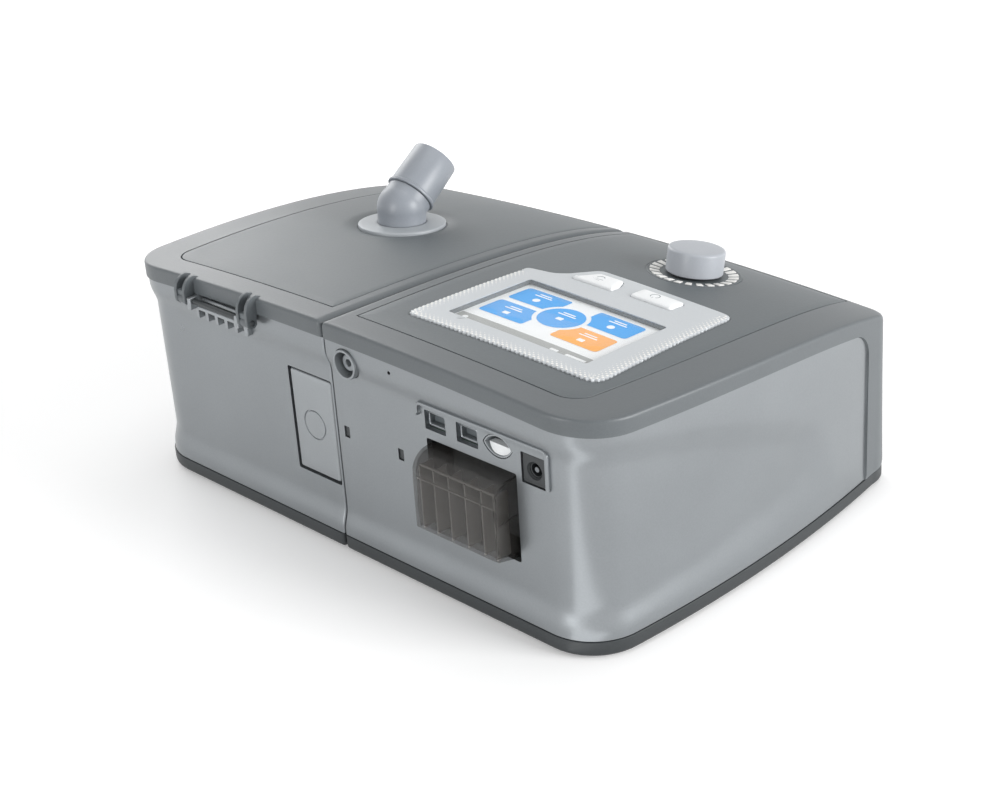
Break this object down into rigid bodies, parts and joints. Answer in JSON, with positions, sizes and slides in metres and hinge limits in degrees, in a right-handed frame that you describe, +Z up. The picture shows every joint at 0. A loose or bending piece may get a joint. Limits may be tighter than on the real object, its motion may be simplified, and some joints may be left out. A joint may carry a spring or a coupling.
{
  "type": "sleep apnoea breathing machine",
  "caption": "Two-module breathing machine with silver shell, tilted deck with screen and knob, hinged humidifier lid and swivelling angled air outlet.",
  "frame": {"origin": "bottom centre of the outer box, on the plane of the feet", "axes": "+Z up, +Y towards the back with the ports and the lid hinge, +X towards the humidifier; the front faces -Y"},
  "size_m": [0.291, 0.2039, 0.1326],
  "materials": {
    "base_plastic": "fine textured matte",
    "silver_paint": "silver metallic paint, satin",
    "cover_plastic": "grey fine textured matte",
    "bezel_silver": "silver plastic with a fine dot texture",
    "screen_glass": "clear gloss",
    "display": "white display panel",
    "circuit_board": "green solder mask",
    "button_plastic": "pale satin",
    "knob_plastic": "satin blue grey",
    "stem_steel": "turned steel",
    "black_plastic": "black matte",
    "mark_plastic": "pale marks",
    "foam": "grey acoustic foam",
    "blower_plastic": "white satin",
    "impeller_plastic": "blue satin",
    "motor_metal": "machined",
    "filter_fibre": "white filter fibre",
    "smoke_plastic": "smoke translucent plastic",
    "contact_metal": "plated pin",
    "socket_metal": "plated socket",
    "white_plastic": "white gloss",
    "seal_rubber": "grey silicone",
    "foot_rubber": "black rubber",
    "heater_metal": "grey plate",
    "tank_plastic": "clear plastic",
    "tank_cover_plastic": "grey satin",
    "steel_plate": "pressed steel",
    "latch_plastic": "grey satin",
    "disc_plastic": "pale satin",
    "screw_steel": "zinc plated"
  },
  "bodies": {
    "main_unit": {"main_base": "base_plastic", "main_shell": "silver_paint", "main_cover": "cover_plastic", "main_panel": "cover_plastic", "screen_bezel": "bezel_silver", "screen_glass": "screen_glass", "screen_display": "display", "control_board": "circuit_board", "knob_encoder": "black_plastic", "knob_marks": "mark_plastic", "muffler": "foam", "blower_housing": "blower_plastic", "blower_motor": "motor_metal", "filter_box": "black_plastic", "filter_pad": "filter_fibre", "power_inlet": "black_plastic", "power_pin": "contact_metal", "port_board": "circuit_board", "data_socket": "socket_metal", "sensor_port": "white_plastic", "coax_socket": "socket_metal", "contact_pads": "black_plastic", "power_board": "circuit_board", "air_duct": "black_plastic", "main_foot": "foot_rubber", "main_screw": "screw_steel"},
    "left_button": {"button_left": "button_plastic"},
    "right_button": {"button_right": "button_plastic"},
    "stem": {"knob_stem": "stem_steel"},
    "dial": {"knob": "knob_plastic"},
    "impeller": {"blower_impeller": "impeller_plastic"},
    "filter_door": {"filter_cover": "smoke_plastic"},
    "humidifier": {"humidifier_base": "base_plastic", "humidifier_shell": "silver_paint", "humidifier_front": "cover_plastic", "humidifier_foot": "foot_rubber", "heater_plate": "heater_metal", "water_tank": "tank_plastic", "tank_cover": "tank_cover_plastic", "tank_plate": "steel_plate", "air_seal": "seal_rubber", "hinge_pin": "stem_steel", "hinge_comb": "silver_paint", "humidifier_screw": "screw_steel"},
    "lid_group": {"lid": "cover_plastic", "lid_panel": "cover_plastic", "outlet_disc": "disc_plastic", "lid_gasket": "seal_rubber"},
    "latch": {"lid_latch": "latch_plastic"},
    "release": {"release_plate": "silver_paint"},
    "elbow_body": {"elbow": "knob_plastic"},
    "cuff_body": {"cuff": "knob_plastic"}
  },
  "joints": [
    {"name": "left_button_press", "type": "slide", "parent": "main_unit", "child": "left_button", "axis": [0, 0, -1], "range_m": [0, 0.0007], "stiffness_N_per_m": 900},
    {"name": "right_button_press", "type": "slide", "parent": "main_unit", "child": "right_button", "axis": [0, 0, -1], "range_m": [0, 0.0007], "stiffness_N_per_m": 900},
    {"name": "knob_press", "type": "slide", "parent": "main_unit", "child": "stem", "axis": [0.0336, 0.165, -0.9857], "range_m": [0, 0.0005], "stiffness_N_per_m": 1500},
    {"name": "knob_turn", "type": "hinge", "parent": "stem", "child": "dial", "pos_m": [-0.0659, -0.05715, 0.0939], "axis": [-0.0336, -0.165, 0.9857], "continuous": true},
    {"name": "impeller_spin", "type": "hinge", "parent": "main_unit", "child": "impeller", "pos_m": [-0.058, -0.00175, 0.066], "axis": [0, 0, 1], "continuous": true},
    {"name": "filter_cover_pull", "type": "slide", "parent": "main_unit", "child": "filter_door", "axis": [0, 1, 0], "range_m": [0, 0.022]},
    {"name": "humidifier_dock", "type": "slide", "parent": "main_unit", "child": "humidifier", "axis": [1, 0, 0], "range_m": [0, 0.1]},
    {"name": "lid_hinge", "type": "hinge", "parent": "humidifier", "child": "lid_group", "pos_m": [0.0695, 0.09745, 0.0964], "axis": [-1, 0, 0], "range_deg": [0, 100]},
    {"name": "lid_latch_press", "type": "slide", "parent": "humidifier", "child": "latch", "axis": [0, 1, 0], "range_m": [0, 0.0015], "stiffness_N_per_m": 800},
    {"name": "release_press", "type": "slide", "parent": "humidifier", "child": "release", "axis": [0, -1, 0], "range_m": [0, 0.001], "stiffness_N_per_m": 1200},
    {"name": "elbow_swivel", "type": "hinge", "parent": "lid_group", "child": "elbow_body", "pos_m": [0.0725, -0.01525, 0.09951], "axis": [0.0373, -0.1045, 0.9938], "continuous": true},
    {"name": "cuff_swivel", "type": "hinge", "parent": "elbow_body", "child": "cuff_body", "pos_m": [0.07277, -0.01601, 0.10677], "axis": [0.0215, -0.8192, 0.5732], "continuous": true}
  ]
}
